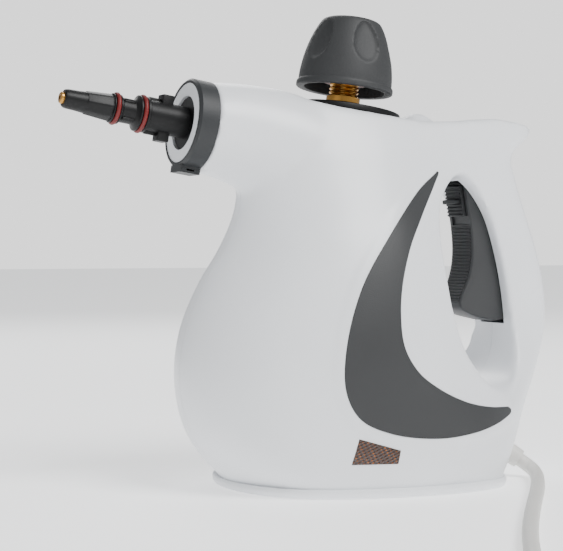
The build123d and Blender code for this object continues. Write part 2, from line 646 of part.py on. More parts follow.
def build():
    outer, cavity = body_form(0), body_form(WALL)
    cavity += Solid.make_loft([level_wire(LEVELS[0], WALL, BODY_FOOT - 2), level_wire(LEVELS[0], WALL)])
    cavity -= through(opening_face(WALL))
    proud, deep = main_form(-INLAY_PROUD), main_form(INLAY_DEEP)
    inlays = {side: skin(proud, deep, crescent_prism(side)) for side in (-1, 1)}
    save("left_body_half", body_half(-1, outer, cavity, inlays[-1]))
    save("right_body_half", body_half(1, outer, cavity, inlays[1]))
    save("left_crescent_inlay", inlays[-1])
    save("right_crescent_inlay", inlays[1])
    save("indicator_window", skin(proud, main_form(WALL), lens_prism()))
    save("base_cover", base_cover())
    save("rubber_feet", feet())
    save("base_screws", base_screws())
    save("body_screws", body_screws())
    save("lamp_holder", lamp_holder())
    save("indicator_lamps", lamps())
    save("nose_collar", collar())
    save("outlet_ring", outlet_ring())
    save("outlet_disc", outlet_disc())
    save("steam_nozzle", nozzle())
    save("nozzle_o_rings", [o_ring(22.7, 7.5), o_ring(36.3, 6.0)])
    save("nozzle_jet", jet())
    save("filler_plate", filler_plate())
    save("filler_neck", filler_neck())
    save("cap_plug", cap_plug())
    save("cap_gasket", cap_gasket())
    save("safety_cap", safety_cap())
    save("boiler_lower", boiler_lower())
    save("boiler_upper", boiler_upper())
    save("boiler_gasket", boiler_gasket())
    save("boiler_bolts", boiler_bolts())
    save("heating_element", heating_element())
    save("thermostat", thermostat())
    save("thermal_fuse", thermal_fuse())
    save("valve_body", valve_body())
    save("valve_gland", valve_gland())
    save("valve_plunger", plunger())
    save("plunger_clip", plunger_clip())
    save("plunger_spring", plunger_spring())
    save("feed_pipe", feed_pipe())
    save("steam_pipe", steam_pipe())
    save("trigger", trigger())
    save("trigger_lock", trigger_lock())
    save("trigger_pin", trigger_pin())
    save("trigger_spring", trigger_spring())
    save("strain_relief", strain_relief_form(CORD_R))
    save("cord_clamp", cord_clamp())
    save("terminal_block", terminal_block())
    save("wiring", wiring())
    save("cord_tube", cord_tube())
    save("cord_coil", cord_coil())
    save("cord_tail", cord_tail())
    save("plug_body", plug_body())
    save("plug_pins", plug_pins())


if __name__ == "__main__":
    build()
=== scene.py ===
import json
import math

import bpy
from mathutils import Matrix, Vector
from mathutils.kdtree import KDTree


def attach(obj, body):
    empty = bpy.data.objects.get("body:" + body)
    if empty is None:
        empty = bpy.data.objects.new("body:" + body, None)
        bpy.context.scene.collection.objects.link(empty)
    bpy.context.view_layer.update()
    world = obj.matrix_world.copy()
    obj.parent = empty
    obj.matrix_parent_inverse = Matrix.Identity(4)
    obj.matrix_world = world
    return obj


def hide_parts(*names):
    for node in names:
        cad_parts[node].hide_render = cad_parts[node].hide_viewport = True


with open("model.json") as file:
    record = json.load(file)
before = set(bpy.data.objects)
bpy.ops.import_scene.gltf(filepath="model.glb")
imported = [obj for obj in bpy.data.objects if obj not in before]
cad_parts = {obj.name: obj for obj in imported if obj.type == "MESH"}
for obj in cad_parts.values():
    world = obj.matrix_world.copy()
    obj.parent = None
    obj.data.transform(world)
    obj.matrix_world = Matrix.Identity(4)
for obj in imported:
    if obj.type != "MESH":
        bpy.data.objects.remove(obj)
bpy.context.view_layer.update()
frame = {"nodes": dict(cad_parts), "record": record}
MM = 0.001
EDIT, OBJECT = "EDIT", "OBJECT"


# ---- small tools ----

def only_nothing():
    """Deselect everything."""
    if bpy.context.mode != OBJECT:
        bpy.ops.object.mode_set(mode=OBJECT)
    bpy.ops.object.select_all(action="DESELECT")


def only(*objects):
    """Select just these objects; the last one is active."""
    only_nothing()
    for item in objects:
        item.select_set(True)
    bpy.context.view_layer.objects.active = objects[-1]
    return objects[-1]


def modify(piece, kind, **settings):
    """Add a modifier, set it and apply it."""
    only(piece)
    modifier = piece.modifiers.new(kind.lower(), kind)
    for key, value in settings.items():
        setattr(modifier, key, value)
    bpy.ops.object.modifier_apply(modifier=modifier.name)
    return piece


def boolean(piece, cutter, operation="DIFFERENCE", solver="MANIFOLD", keep=False):
    """Cut, join or intersect a piece with a cutter, which goes unless it is kept."""
    modify(piece, "BOOLEAN", object=cutter, operation=operation, solver=solver)
    if not keep:
        bpy.data.objects.remove(cutter)
    return piece


def linked(name, data):
    """A new object in the scene."""
    made = bpy.data.objects.new(name, data)
    bpy.context.scene.collection.objects.link(made)
    return made


def duplicate(piece, name):
    """A copy with its own mesh."""
    twin = piece.copy()
    twin.data = piece.data.copy()
    twin.name = twin.data.name = name
    bpy.context.scene.collection.objects.link(twin)
    return twin


def mesh_piece(name, points, faces):
    data = bpy.data.meshes.new(name)
    data.from_pydata([tuple(point) for point in points], [], faces)
    piece = linked(name, data)
    outward(piece)
    return piece


def outward(piece):
    """Merge doubles and turn every face outwards."""
    only(piece)
    bpy.ops.object.mode_set(mode=EDIT)
    bpy.ops.mesh.select_all(action="SELECT")
    bpy.ops.mesh.remove_doubles(threshold=1e-6)
    bpy.ops.mesh.normals_make_consistent(inside=False)
    bpy.ops.object.mode_set(mode=OBJECT)
    return piece


def tube_mesh(name, rings, capped=True):
    """Skin a stack of equal closed rings, with a flat fan at each end."""
    count = len(rings[0])
    points = [point for ring in rings for point in ring]
    faces = []
    for row in range(len(rings) - 1):
        for column in range(count):
            after = (column + 1) % count
            faces.append((row * count + column, row * count + after,
                          (row + 1) * count + after, (row + 1) * count + column))
    if capped:
        faces.append(tuple(range(count)))
        faces.append(tuple(range(len(points) - count, len(points))))
    return mesh_piece(name, points, faces)


def smooth_shade(piece, degrees=35):
    only(piece)
    bpy.ops.object.shade_smooth_by_angle(angle=math.radians(degrees))
    return piece


def curve_through(points, steps, closed=False):
    """Points along a smooth curve through the given ones, steps to each span."""
    count = len(points)
    points = [Vector(point) for point in points]
    result = []
    for index in range(count if closed else count - 1):
        if closed:
            a, b, c, d = (points[(index + offset) % count] for offset in (-1, 0, 1, 2))
        else:
            b, c = points[index], points[index + 1]
            a = points[index - 1] if index else 2 * b - c
            d = points[index + 2] if index + 2 < count else 2 * c - b
        ab, bc, cd = (max((q - p).length, 1e-9) ** 0.5 for p, q in ((a, b), (b, c), (c, d)))
        leave = ((b - a) / ab - (c - a) / (ab + bc) + (c - b) / bc) * bc
        arrive = ((c - b) / bc - (d - b) / (bc + cd) + (d - c) / cd) * bc
        for step in range(steps):
            t = step / steps
            result.append((2 * t**3 - 3 * t**2 + 1) * b + (t**3 - 2 * t**2 + t) * leave
                          + (3 * t**2 - 2 * t**3) * c + (t**3 - t**2) * arrive)
    if not closed:
        result.append(points[-1])
    return result


def resampled(points, count):
    """Evenly spaced points along a polyline."""
    lengths = [0.0]
    for a, b in zip(points, points[1:]):
        lengths.append(lengths[-1] + (b - a).length)
    result, index = [], 0
    for step in range(count):
        target = lengths[-1] * step / (count - 1)
        while index < len(points) - 2 and lengths[index + 1] < target:
            index += 1
        share = (target - lengths[index]) / max(lengths[index + 1] - lengths[index], 1e-12)
        result.append(points[index].lerp(points[index + 1], min(max(share, 0), 1)))
    return result


def smooth_step(value):
    value = min(max(value, 0.0), 1.0)
    return value * value * (3 - 2 * value)


# ---- camera, floor and light ----

FOCAL_LENGTH, SENSOR = 100.5, 36
HEADING, CLIMB, DISTANCE = math.radians(26.15), math.radians(1.13), 0.810
LOOK_AT = Vector((-0.0396, 0, 0.108))
FLOOR_SIDE, FLOOR_DROP, FLOOR_GLOW = 14, 0.0006, 0.75
SOFT_LIGHT, BACKDROP_LIGHT = 0.5, 1.6
LIGHTS = (  # name, place, side of the square, power
    ("key", (0.35, -1.0, 1.35), 0.8, 29),
    ("fill", (-1.3, -0.5, 0.6), 1.0, 1.5),
    ("rim", (0.3, 1.3, 1.1), 0.9, 11),
)
LIGHTS_AIM = Vector((0, 0, 0.1))


def camera():
    data = bpy.data.cameras.new("view")
    data.lens, data.sensor_width = FOCAL_LENGTH, SENSOR
    data.clip_start, data.clip_end = 0.05, 20
    view = linked("view", data)
    level = math.cos(CLIMB)
    back = Vector((-math.sin(HEADING) * level, -math.cos(HEADING) * level, math.sin(CLIMB)))
    view.location = LOOK_AT + back * DISTANCE
    view.rotation_mode = "QUATERNION"
    view.rotation_quaternion = (-back).to_track_quat("-Z", "Y")
    bpy.context.scene.camera = view


def studio():
    """Pale floor and backdrop, soft all-round light and three square lamps."""
    bpy.ops.mesh.primitive_plane_add(size=1, location=(0, 0, 0))
    floor = bpy.context.object
    floor.name = "floor"
    for vertex in floor.data.vertices:
        vertex.co = Vector((vertex.co.x * FLOOR_SIDE, vertex.co.y * FLOOR_SIDE, -FLOOR_DROP))
    paper = bpy.data.materials.new("floor_paper")
    paper.use_nodes = True
    surface = paper.node_tree.nodes["Principled BSDF"]
    surface.inputs["Base Color"].default_value = (0.93, 0.935, 0.94, 1)
    surface.inputs["Roughness"].default_value = 0.9
    surface.inputs["Emission Color"].default_value = (1, 1, 1, 1)
    surface.inputs["Emission Strength"].default_value = FLOOR_GLOW
    floor.data.materials.append(paper)
    world = bpy.data.worlds.new("studio")
    bpy.context.scene.world = world
    world.use_nodes = True
    tree = world.node_tree
    soft = tree.nodes["Background"]
    soft.inputs["Color"].default_value = (0.95, 0.975, 1.0, 1)
    soft.inputs["Strength"].default_value = SOFT_LIGHT
    backdrop = tree.nodes.new("ShaderNodeBackground")
    backdrop.inputs["Color"].default_value = (1, 1, 1, 1)
    backdrop.inputs["Strength"].default_value = BACKDROP_LIGHT
    path, blend = tree.nodes.new("ShaderNodeLightPath"), tree.nodes.new("ShaderNodeMixShader")
    tree.links.new(path.outputs["Is Camera Ray"], blend.inputs[0])
    tree.links.new(soft.outputs[0], blend.inputs[1])
    tree.links.new(backdrop.outputs[0], blend.inputs[2])
    tree.links.new(blend.outputs[0], tree.nodes["World Output"].inputs["Surface"])
    for name, place, size, power in LIGHTS:
        data = bpy.data.lights.new(name, "AREA")
        data.size, data.energy = size, power
        lamp = linked(name, data)
        lamp.location = place
        lamp.rotation_mode = "QUATERNION"
        lamp.rotation_quaternion = (LIGHTS_AIM - Vector(place)).to_track_quat("-Z", "Y")


camera()
studio()


# ---- finishes ----

class Value:
    """A socket that takes part in sums; every sum adds a Math node."""

    def __init__(self, paint, socket):
        self.paint, self.socket = paint, socket

    def math(self, operation, other=0.0, after=False):
        pair = (other, self) if after else (self, other)
        return self.paint.node("ShaderNodeMath", {"operation": operation}, {0: pair[0], 1: pair[1]})

    def __add__(self, other):
        return self.math("ADD", other)

    def __sub__(self, other):
        return self.math("SUBTRACT", other)

    def __rsub__(self, other):
        return self.math("SUBTRACT", other, after=True)

    def __mul__(self, other):
        return self.math("MULTIPLY", other)

    def __truediv__(self, other):
        return self.math("DIVIDE", other)

    def __pow__(self, other):
        return self.math("POWER", other)

    __radd__, __rmul__ = __add__, __mul__

    def between(self, low, high):
        """0 below low, 1 above high and straight between them."""
        return self.paint.node("ShaderNodeMapRange", {"clamp": True},
                               {"From Min": low, "From Max": high, "Value": self})


class Paint:
    """One material and the nodes that it is made of."""

    def __init__(self, name, colour, roughness, **constants):
        self.material = bpy.data.materials.new(name)
        self.material.use_nodes = True
        self.tree = self.material.node_tree
        self.shader = self.tree.nodes["Principled BSDF"]
        self.colour = linear(colour)
        self.put("Base Color", self.colour)
        self.put("Roughness", roughness)
        for key, value in constants.items():
            self.put(key.replace("_", " "), value)
        self.place = self.node("ShaderNodeTexCoord", out="Object")

    def put(self, name, value):
        """Set or link one socket of the shader."""
        self.feed(self.shader.inputs[name], value)

    def feed(self, socket, value):
        if isinstance(value, Value):
            self.tree.links.new(value.socket, socket)
        elif isinstance(value, tuple) and len(value) == 3 and socket.type == "RGBA":
            socket.default_value = (*value, 1)
        else:
            socket.default_value = value

    def node(self, kind, settings=None, sockets=None, out=0):
        """Any other node: its type, settings, socket values or links, and the output wanted."""
        made = self.tree.nodes.new(kind)
        for key, value in (settings or {}).items():
            setattr(made, key, value)
        for key, value in (sockets or {}).items():
            self.feed(made.inputs[key], value)
        return Value(self, made.outputs[out])

    def noise(self, scale, detail=2.0, place=None):
        return self.node("ShaderNodeTexNoise", {},
                         {"Vector": place or self.place, "Scale": scale, "Detail": detail}, "Fac")

    def mix(self, share, low, high):
        """Blend of two colours."""
        return self.node("ShaderNodeMix", {"data_type": "RGBA"}, {0: share, 6: low, 7: high}, 2)

    def bump(self, height, depth, strength=1.0):
        self.put("Normal", self.node("ShaderNodeBump", {},
                                     {"Height": height, "Distance": depth, "Strength": strength}))


def linear(colour):
    """sRGB levels of 0 to 255 as the linear colour the shader wants."""
    return tuple(((level / 255 + 0.055) / 1.055) ** 2.4 if level > 10 else level / 255 / 12.92
                 for level in colour)


def shade(colour, factor):
    return tuple(level * factor for level in colour)


def moulded(name, colour, roughness, grain, depth, mottle=0.05, spread=0.06, **constants):
    """Moulded plastic: a fine grained skin, slight mottling, and dust-dulled patches."""
    paint = Paint(name, colour, roughness, **constants)
    fine, broad = paint.noise(grain, 3), paint.noise(28, 3)
    darker, lighter = shade(paint.colour, 1 - mottle), shade(paint.colour, 1 + mottle)
    paint.put("Base Color", paint.mix(broad.between(0.3, 0.7), darker, lighter))
    paint.put("Roughness", (broad * 0.6 + fine * 0.4 - 0.5) * spread * 2 + roughness)
    paint.bump(fine, depth)
    return paint.material


def metal(name, colour, roughness, streak, depth=0.00002):
    """Turned or cast metal with fine marks and a few dull patches."""
    paint = Paint(name, colour, roughness, Metallic=1.0)
    marks, patches = paint.noise(streak, 4), paint.noise(90, 2)
    paint.put("Base Color", paint.mix(patches.between(0.35, 0.75), paint.colour, shade(paint.colour, 0.8)))
    paint.put("Roughness", marks * 0.18 + patches * 0.1 + (roughness - 0.13))
    paint.bump(marks, depth)
    return paint.material


def amber():
    """Tinted window: diamond prisms on the inside glint through it; the glints and the shade across each
    prism cell are painted into its colour.
    """
    paint = Paint("amber_window", (58, 28, 10), 0.16, Coat_Weight=0.4, Coat_Roughness=0.06)
    axes = {key: paint.node("ShaderNodeSeparateXYZ", {}, {0: paint.place}, key) for key in "XZ"}
    along, across = (axes["X"] + axes["Z"] * 0.55) / 0.0024, (axes["X"] - axes["Z"] * 2.2) / 0.0036
    cells = along.math("PINGPONG", 0.5) + across.math("PINGPONG", 0.5)
    glint = cells.between(0.62, 0.95) * paint.noise(260, 2).between(0.35, 0.65)
    # painted shade: the colour darkens to 0.45 towards the edges of each prism cell
    painted_facet_shade = paint.mix(cells.between(0.1, 0.8), shade(paint.colour, 0.45), paint.colour)
    paint.put("Base Color", paint.mix(glint, painted_facet_shade, linear((176, 98, 26))))
    paint.put("Roughness", cells * 0.12 + 0.1)
    paint.bump(cells, 0.0004)
    return paint.material


MATERIALS = {
    "white_shell": moulded("white_shell", (236, 238, 241), 0.34, 900, 0.00003, mottle=0.012, spread=0.08,
                           Coat_Weight=0.12, Coat_Roughness=0.25),
    "dark_trim": moulded("dark_trim", (45, 46, 47), 0.52, 1500, 0.00007),
    "cap_plastic": moulded("cap_plastic", (41, 42, 43), 0.6, 1300, 0.00008, mottle=0.06),
    "black_plastic": moulded("black_plastic", (7, 7, 8), 0.44, 1100, 0.00005, mottle=0.1,
                             Specular_IOR_Level=0.3),
    "amber_window": amber(),
    "foot_rubber": moulded("foot_rubber", (38, 38, 38), 0.8, 700, 0.0001, mottle=0.1),
    "steel": metal("steel", (176, 178, 180), 0.34, 600),
    "lamp_glass": moulded("lamp_glass", (206, 120, 40), 0.15, 500, 0.00002, Transmission_Weight=0.5),
    "red_seal": moulded("red_seal", (104, 10, 8), 0.5, 900, 0.00005, mottle=0.08),
    "brass": metal("brass", (196, 146, 74), 0.3, 700),
    "cast_aluminium": metal("cast_aluminium", (168, 169, 170), 0.5, 300, 0.0001),
    "cord_jacket": moulded("cord_jacket", (214, 212, 207), 0.46, 700, 0.00005, mottle=0.03),
}
EXTRA = {
    "grip_face": moulded("grip_face", (22, 24, 26), 0.62, 1500, 0.00008, mottle=0.08),
    "collar_plastic": moulded("collar_plastic", (34, 36, 38), 0.5, 1300, 0.00006),
}


def finish(piece, body, slot, *nodes, material=None, smooth=35):
    """Attach a finished piece to its body, hide the nodes it replaces, give it the slot's material or the one
    passed, and smooth it.
    """
    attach(piece, body)
    if nodes:
        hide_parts(*nodes)
    if piece.type == "MESH":
        piece.data.materials.clear()
        piece.data.materials.append(material or MATERIALS[slot])
        if smooth:
            smooth_shade(piece, smooth)
    return piece


for part in frame["record"]["subparts"]:
    node = frame["nodes"][part["node"]]
    node.data.materials.clear()
    node.data.materials.append(MATERIALS[part["material_slot"]])


# ---- mains lead ----

CORD_D = 7.3
CORD_R = CORD_D / 2
# From the strain relief down to the floor and along it, as far as the coil.
ROUTE = [(79, -22, 16.5), (92, -30.5, 6.2), (91.5, -38, CORD_R), (82, -54, CORD_R), (60, -86, CORD_R),
         (22, -135, CORD_R), (-20, -192, CORD_R), (-58, -250, CORD_R), (-93, -298, CORD_R)]
COIL_CENTRE, COIL_OUTER = (-62, -344), 42 + 1.5 * CORD_D
TURNS_IN_ALL, STEPS_INWARDS, POINTS_A_TURN = 8, 3, 16
ENTRY_ANGLE, TAIL_ANGLE, TAIL_LENGTH = 141.3, 250.0, 34.0
PLUG_Z = 12.7


def coil_points():
    """Four turns inwards on the floor, then four outwards on top of them."""
    points = []
    total = TAIL_ANGLE + 360 * TURNS_IN_ALL - ENTRY_ANGLE
    steps = round(total / 360 * POINTS_A_TURN)
    for step in range(steps + 1):
        angle = total * step / steps
        turns = angle / 360
        half = total / 720
        inward = min(turns, 2 * half - turns) * STEPS_INWARDS / half
        radius = COIL_OUTER - CORD_D * inward
        height = CORD_R + CORD_D * smooth_step((turns - half + 0.25) / 0.5)
        heading = math.radians(ENTRY_ANGLE + angle)
        points.append((COIL_CENTRE[0] + radius * math.cos(heading),
                       COIL_CENTRE[1] + radius * math.sin(heading), height))
    return points


def tail_point(distance, height):
    """A point on the straight tail that leaves the coil for the plug."""
    angle = math.radians(TAIL_ANGLE)
    return (COIL_CENTRE[0] + COIL_OUTER * math.cos(angle) - distance * math.sin(angle),
            COIL_CENTRE[1] + COIL_OUTER * math.sin(angle) + distance * math.cos(angle), height)


def spline_length(piece):
    data = bpy.data.meshes.new_from_object(piece)
    line = [vertex.co.copy() for vertex in data.vertices]
    bpy.data.meshes.remove(data)
    return sum((b - a).length for a, b in zip(line, line[1:]))


def cord_piece():
    data = bpy.data.curves.new("mains_lead", "CURVE")
    data.dimensions = "3D"
    tail = [tail_point(14, CORD_R + CORD_D), tail_point(TAIL_LENGTH + 3, PLUG_Z)]
    route = ROUTE + coil_points() + tail
    spline = data.splines.new("NURBS")
    spline.points.add(len(route) - 1)
    for point, place in zip(spline.points, route):
        point.co = (*(Vector(place) * MM), 1)
    spline.order_u = 3
    spline.use_endpoint_u = True
    data.resolution_u = 8
    piece = linked("mains_lead", data)
    length = spline_length(piece)
    data.bevel_depth = CORD_R * MM
    data.bevel_resolution = 5
    data.use_fill_caps = True
    piece.data.materials.append(MATERIALS["cord_jacket"])
    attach(piece, "body")
    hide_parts("cord_tube", "cord_coil", "cord_tail")
    return piece, length


frame["nodes"]["nose_collar"].data.materials[0] = EXTRA["collar_plastic"]
LEAD, LEAD_LENGTH = cord_piece()


# ---- body form ----

BODY_FOOT, WALL, WAIST_X = 4.5, 2.6, 48.0
VOXEL, SOFTEN_ROUNDS, SETTLE_ROUNDS = 1.5, 26, 6
BORDER_RISE, BORDER_REACH = 0.6, 8
INLAY_DEPTH, INLAY_PROUD = 1.55, 0.3
PANE_DEPTH, PANE_PROUD = 2.2, 0.25
BEYOND = 0.09
# Level outlines: height, front, half width, waist half width, two rear shoulder points, rear.
LEVELS = [
    (4.5, -70, 62.5, 60, (60, 54), (68.5, 38), 70.5),
    (16, -81.5, 65, 61, (66, 52), (77, 36), 80.5),
    (32, -91.5, 65.9, 59.5, (76, 44), (89.5, 27), 93.5),
    (56, -96.4, 65.9, 54, (84, 33), (106, 18), 111.5),
    (80, -93.5, 64, 47, (84, 23), (115.5, 13), 120),
    (104, -83, 59, 40, (84, 20), (114, 13), 118.5),
    (122, -71.5, 53.5, 34.5, (82, 19), (109.5, 12.5), 113.8),
    (140, -64, 46, 29.5, (78, 18.5), (103, 12.5), 107.2),
    (158, -62, 39, 26, (74, 18.5), (96.5, 12.5), 100.8),
    (172, -60, 34, 24, (72, 18.5), (94, 12), 97.2),
    (184, -55, 28.5, 21.5, (74, 17), (105, 10.5), 111.5),
    (197, -48, 21, 16, (74, 12.5), (110, 8), 119),
]
# Side view: height of the deck along x, then closed outlines, all as (x, z).
TOP_LINE = [
    (-95, 212), (-78, 207.8), (-66, 207.2), (-51, 205.4), (-38, 202), (-29, 198), (-20, 195.4), (2, 192),
    (20, 189.8), (31, 188.8), (53, 189.6), (75, 191.8), (88, 192.2), (98, 191), (108, 188.6), (117, 184.8),
]
# Nose rings: x, z, half width, half height, lean in degrees.
NOSE = [
    (-84.3, 183.2, 22.6, 22.6, 8.9), (-60, 178.6, 25, 26.6, 7),
    (-33, 169.5, 29.5, 32, 10), (-5, 158, 33, 33, 14),
]
OPENING = [
    (54, 160.5), (62, 157), (69.5, 149.5), (76.5, 138.5), (81.5, 125), (86, 108), (89, 90), (90, 76),
    (88, 63.5), (81, 53), (69, 48.5), (56, 52), (45.5, 61), (38, 72), (33.5, 88), (32, 106),
    (32.7, 124), (36, 141), (44.5, 154),
]
CRESCENT_FRONT = [
    (34.5, 161), (18.5, 150.7), (-3.8, 129.7), (-23.5, 104), (-34.2, 76), (-35.2, 53), (-28, 39.5),
    (-12, 31.8), (14, 28.2), (38, 29.6), (56, 33), (67.2, 36.2),
]
CRESCENT_BACK = [
    (67, 40), (50, 41.4), (33.2, 45), (15.5, 52.5), (2.8, 61.5), (-4.6, 74), (-5.4, 90),
    (-1.8, 106.5), (6, 123), (17.5, 137.5), (29, 151), (36, 160),
]
LENS = [(-28, 29.7), (-6.5, 23.3), (-7.5, 16.7), (-31, 17)]


def level_points(level):
    height, front, width, waist, shoulder, corner, rear = level
    near = [(0.73 * front, 0.71 * width), (0, width), (WAIST_X, waist), shoulder, corner]
    ring = [(front, 0)] + near + [(rear, 0)] + [(x, -y) for x, y in reversed(near)]
    return [Vector((x, y, height)) for x, y in ring]


def main_form():
    """The jug, lofted through its level outlines and carried on below the foot."""
    columns = [curve_through(column, 5) for column in zip(*(level_points(level) for level in LEVELS))]
    rings = []
    for row in range(len(columns[0])):
        ring = curve_through([column[row] for column in columns], 14, closed=True)
        rings.append([point * MM for point in ring])
    foot = [point.copy() for point in rings[0]]
    for point in foot:
        point.z -= 9 * MM
    return tube_mesh("main_form", [foot] + rings)


def nose_form():
    rings = []
    for x, z, wide, high, pitch in (tuple(item) for item in smooth_rows(NOSE, 8)):
        lean = math.radians(pitch)
        ring = []
        for step in range(72):
            angle = math.tau * step / 72
            up = high * math.sin(angle)
            ring.append(Vector((x + up * math.sin(lean), wide * math.cos(angle),
                                z + up * math.cos(lean))) * MM)
        rings.append(ring)
    return tube_mesh("nose_form", rings)


def smooth_rows(rows, steps):
    """Rows of numbers with smooth rows put in between them."""
    result = []
    for index in range(len(rows) - 1):
        before, a, b, after = (rows[min(max(index + offset, 0), len(rows) - 1)] for offset in (-1, 0, 1, 2))
        for step in range(steps + (index == len(rows) - 2)):
            t = step / steps
            result.append([q + 0.5 * t * (r - p + t * (2 * p - 5 * q + 4 * r - s
                                                       + t * (3 * (q - r) + s - p)))
                           for p, q, r, s in zip(before, a, b, after)])
    return result


def prism(name, outline, near=-BEYOND, far=BEYOND):
    """A closed outline in the XZ plane, in metres, made into a bar along Y."""
    return tube_mesh(name, [[Vector((point.x, y, point.z)) for point in outline] for y in (near, far)])


def side_points(points):
    return [Vector((x, 0, z)) * MM for x, z in points]


def outline_of(points, steps=10):
    return curve_through(side_points(points), steps, closed=True)


def crescent_outline():
    front = curve_through(side_points(CRESCENT_FRONT), 10)
    back = curve_through(side_points(CRESCENT_BACK), 10)
    rear_tip = side_points([(68.8, 37), (69.2, 38.6)])
    return front + rear_tip + back + side_points([(36.6, 161.4), (35.6, 162)])


def grown(outline, gap):
    """The outline moved outwards by a gap; it runs anticlockwise or clockwise alike."""
    count = len(outline)
    area = sum(a.x * b.z - b.x * a.z for a, b in zip(outline, outline[1:] + outline[:1]))
    side = 1 if area > 0 else -1
    result = []
    for index, point in enumerate(outline):
        along = (outline[(index + 1) % count] - outline[index - 1]).normalized()
        result.append(point + Vector((along.z, 0, -along.x)) * side * gap)
    return result


def nearness(outline):
    """A function: how far a point on the side view is from the outline, below 0 inside it."""
    dense = resampled(outline + outline[:1], 900)
    tree = KDTree(len(dense))
    for index, point in enumerate(dense):
        tree.insert(point, index)
    tree.balance()
    edges = list(zip(outline, outline[1:] + outline[:1]))
    low_x, high_x = min(p.x for p in outline), max(p.x for p in outline)
    low_z, high_z = min(p.z for p in outline), max(p.z for p in outline)

    def distance(x, z):
        gap = tree.find(Vector((x, 0, z)))[2]
        if not (low_x < x < high_x and low_z < z < high_z):
            return gap
        inside = False
        for a, b in edges:
            if (a.z > z) != (b.z > z) and x < a.x + (z - a.z) * (b.x - a.x) / (b.z - a.z):
                inside = not inside
        return -gap if inside else gap

    return distance


def body_form():
    """Jug, nose and knoll in one skin, cut by the deck and the finger opening, its edges softened."""
    form = main_form()
    top = [Vector((x, 0, z)) for x, z in TOP_LINE]
    line = curve_through(top, 6)
    rest_of_sky = [Vector((130, 0, 176)), Vector((140, 0, 240)), Vector((-130, 0, 240))]
    sky = [Vector((-130, 0, 214))] + line + rest_of_sky
    boolean(form, nose_form(), "UNION")
    boolean(form, prism("sky", [point * MM for point in sky]))
    knoll_place = frame_of((41, 0, 187.5), (0, 1, 0), (0.1, 0, 1)) @ Matrix.Diagonal((9, 9.5, 6.8, 1))
    arc = [math.radians(-90 + 10 * step) for step in range(19)]
    knoll = turned("knoll", knoll_place, [(math.cos(a), math.sin(a)) for a in arc], closed=False)
    boolean(form, knoll, "UNION")
    boolean(form, prism("finger_opening", outline_of(OPENING)))
    modify(form, "REMESH", mode="VOXEL", voxel_size=VOXEL * MM, use_smooth_shade=True)
    lip = nearness(outline_of(OPENING))
    weights = form.vertex_groups.new(name="soften")
    everywhere = form.vertex_groups.new(name="settle")
    for vertex in form.data.vertices:
        x, y, z = vertex.co
        gap = abs(lip(x, z))
        near_lip = 1 - smooth_step((gap / MM - 5) / 6)
        crown = (smooth_step((z / MM - 176) / 10) * smooth_step((x / MM + 66) / 12)
                 * smooth_step((104 - x / MM) / 12))
        crown *= 1 - 0.85 * smooth_step((13 - abs(x / MM - 41)) / 4) * smooth_step((14 - abs(y / MM)) / 4)
        foot = smooth_step((z / MM - 6) / 3)
        throat = smooth_step((22 - math.hypot(x / MM + 64, z / MM - 148)) / 10)
        weights.add([vertex.index], max(near_lip, crown, throat) * foot, "REPLACE")
        everywhere.add([vertex.index], foot, "REPLACE")
    modify(form, "SMOOTH", factor=0.5, iterations=SOFTEN_ROUNDS, vertex_group="soften")
    modify(form, "SMOOTH", factor=0.5, iterations=SETTLE_ROUNDS, vertex_group="settle")
    form.vertex_groups.clear()
    return form


def raised_border(form, distance):
    """Soft raised bead in the shell all round each crescent."""
    normals = [vertex.normal.copy() for vertex in form.data.vertices]
    for vertex, normal in zip(form.data.vertices, normals):
        if abs(normal.y) < 0.12:
            continue
        gap = distance(vertex.co.x, vertex.co.z) / MM
        if gap < BORDER_REACH:
            rise = BORDER_RISE * (1 - smooth_step((gap - 2.5) / 4.5))
            vertex.co += normal * rise * MM * smooth_step((abs(normal.y) - 0.12) / 0.3)
    form.data.update()


def displaced(form, name, gap):
    """A copy of the form moved along its own normals."""
    twin = duplicate(form, name)
    normals = [vertex.normal.copy() for vertex in twin.data.vertices]
    for vertex, normal in zip(twin.data.vertices, normals):
        vertex.co += normal * gap * MM
    twin.data.update()
    return twin


def bar(name, low, high):
    """A plain box between two corners in mm, for cutting."""
    only_nothing()
    bpy.ops.mesh.primitive_cube_add(size=1, location=(0, 0, 0))
    piece = bpy.context.object
    piece.name = name
    low, high = Vector(low) * MM, Vector(high) * MM
    size, middle = high - low, (high + low) / 2
    for vertex in piece.data.vertices:
        vertex.co = Vector((vertex.co.x * size.x, vertex.co.y * size.y, vertex.co.z * size.z)) + middle
    return piece


def frame_of(origin, x_dir, z_dir):
    """Local millimetres to metres in place."""
    z = Vector(z_dir).normalized()
    x = Vector(x_dir).normalized()
    y = z.cross(x)
    turn = Matrix((x, y, z)).transposed().to_4x4()
    return Matrix.Translation(Vector(origin) * MM) @ turn @ Matrix.Scale(MM, 4)


NOSE_LEAN, CAP_LEAN = math.radians(8.9), math.radians(7.4)
NOSE_FRAME = frame_of((-94.8, 0, 184.8), (0, 1, 0), (-math.cos(NOSE_LEAN), 0, math.sin(NOSE_LEAN)))
CAP_FRAME = frame_of((-3.1, 0, 204.5), (0, 1, 0), (math.sin(CAP_LEAN), 0, math.cos(CAP_LEAN)))


